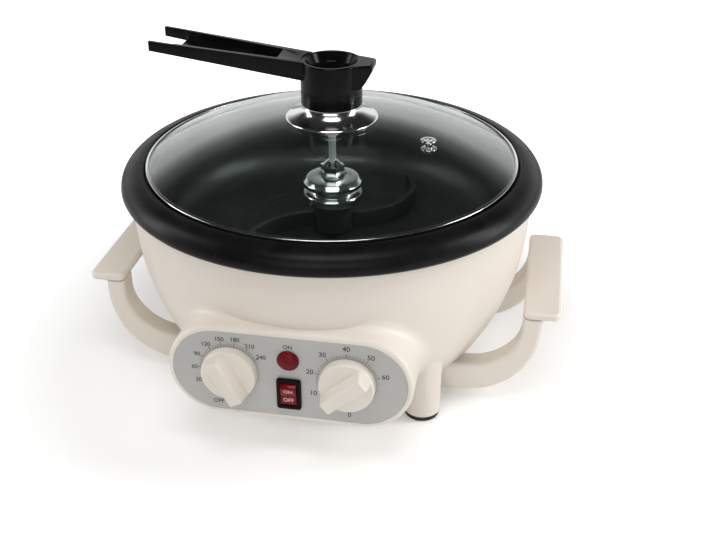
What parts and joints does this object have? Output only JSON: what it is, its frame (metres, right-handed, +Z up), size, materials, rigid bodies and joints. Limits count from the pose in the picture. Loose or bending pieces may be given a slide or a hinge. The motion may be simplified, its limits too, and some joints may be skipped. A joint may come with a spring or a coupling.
{
  "type": "chestnut roaster machine",
  "caption": "Countertop electric roaster: a round cream pot with a black rim, driven stirring blades under a domed glass lid, side grips and a front panel of dials, lamp and rocker switch.",
  "frame": {"origin": "on the table under the middle of the whole part; the pot's axis stands 7.5 mm behind it", "axes": "+Z up, front (control panel) at -Y, +X to the right seen from the front"},
  "size_m": [0.34, 0.315, 0.2411],
  "materials": {
    "cream": "satin",
    "fascia": "satin",
    "zinc": "satin",
    "rubber": "matte",
    "rim_black": "satin",
    "nonstick": "satin",
    "bronze": "satin",
    "element": "satin",
    "copper": "satin",
    "magnet": "matte",
    "nylon": "matte",
    "steel": "satin",
    "chrome": "polished",
    "black_plastic": "satin",
    "handle_black": "gloss",
    "lens_red": "gloss",
    "rocker_red": "gloss",
    "wire_red": "satin",
    "glass": "polished"
  },
  "bodies": {
    "base": {"outer_shell": "cream", "control_housing": "cream", "left_handle_legs": "cream", "right_handle_legs": "cream", "left_grip": "cream", "right_grip": "cream", "fascia_plate": "fascia", "base_plate": "zinc", "handle_screws": "zinc", "heat_shield": "zinc", "pan_studs": "zinc", "stud_tubes": "zinc", "stud_nuts": "zinc", "motor_plate": "zinc", "case_screws": "zinc", "motor_can": "zinc", "element_clips": "zinc", "neck_nuts": "zinc", "foot_pads": "rubber", "rim_ring": "rim_black", "roasting_pan": "nonstick", "shaft_bush": "bronze", "heating_element": "element", "motor_coil": "copper", "thermostat_bulb": "copper", "thermostat_body": "nylon", "timer_body": "nylon", "lamp_barrel": "nylon", "terminal_block": "nylon", "idler_pin": "steel", "gear_case": "black_plastic", "thermal_cutout": "black_plastic", "switch_housing": "black_plastic", "cord_gland": "black_plastic", "gland_nut": "black_plastic", "lamp_lens": "lens_red", "wires": "wire_red"},
    "stirrer": {"stirrer_blades": "nonstick", "stirrer_hub": "chrome", "hub_nut": "chrome", "drive_shaft": "steel", "output_gear": "nylon"},
    "idler": {"idler_gear": "nylon"},
    "rotor": {"motor_rotor": "magnet"},
    "lid": {"lid_glass": "glass", "lid_band": "chrome", "vent_eyelet": "chrome", "lid_flange": "chrome", "lid_spacer": "rubber", "lid_handle": "handle_black", "lid_stud": "steel", "lid_washer": "rubber", "lid_nut": "steel"},
    "rod": {"hold_down_rod": "steel", "rod_spring": "steel"},
    "temperature_control": {"temperature_dial": "cream", "thermostat_spindle": "steel"},
    "timer_control": {"timer_dial": "cream", "timer_spindle": "steel"},
    "rocker": {"switch_rocker": "rocker_red"}
  },
  "joints": [
    {"name": "lid_lift", "type": "slide", "parent": "base", "child": "lid", "axis": [0, 0, 1], "range_m": [0, 0.25]},
    {"name": "rod_slide", "type": "slide", "parent": "lid", "child": "rod", "axis": [0, 0, 1], "range_m": [0, 0.005], "stiffness_N_per_m": 300, "springref_m": -0.006, "deforming": ["rod_spring"]},
    {"name": "stirrer_spin", "type": "hinge", "parent": "base", "child": "stirrer", "pos_m": [0, 0.0075, 0.1], "axis": [0, 0, 1], "continuous": true},
    {"name": "idler_spin", "type": "hinge", "parent": "base", "child": "idler", "pos_m": [0.01057, 0.03125, 0.05], "axis": [0, 0, 1], "continuous": true},
    {"name": "rotor_spin", "type": "hinge", "parent": "base", "child": "rotor", "pos_m": [0.014, 0.0075, 0.03], "axis": [0, 0, 1], "continuous": true},
    {"name": "temperature_turn", "type": "hinge", "parent": "base", "child": "temperature_control", "pos_m": [-0.0385, -0.1475, 0.068], "axis": [0, 1, 0], "range_deg": [-139, 87]},
    {"name": "timer_turn", "type": "hinge", "parent": "base", "child": "timer_control", "pos_m": [0.0385, -0.1475, 0.068], "axis": [0, 1, 0], "range_deg": [-232, 24]},
    {"name": "rocker_tilt", "type": "hinge", "parent": "base", "child": "rocker", "pos_m": [0, -0.1375, 0.055], "axis": [-1, 0, 0], "range_deg": [0, 16]}
  ],
  "couplings": [
    {"joint": "idler_spin", "follows": "stirrer_spin", "ratio": -3.3333},
    {"joint": "rotor_spin", "follows": "stirrer_spin", "ratio": 13.333}
  ]
}
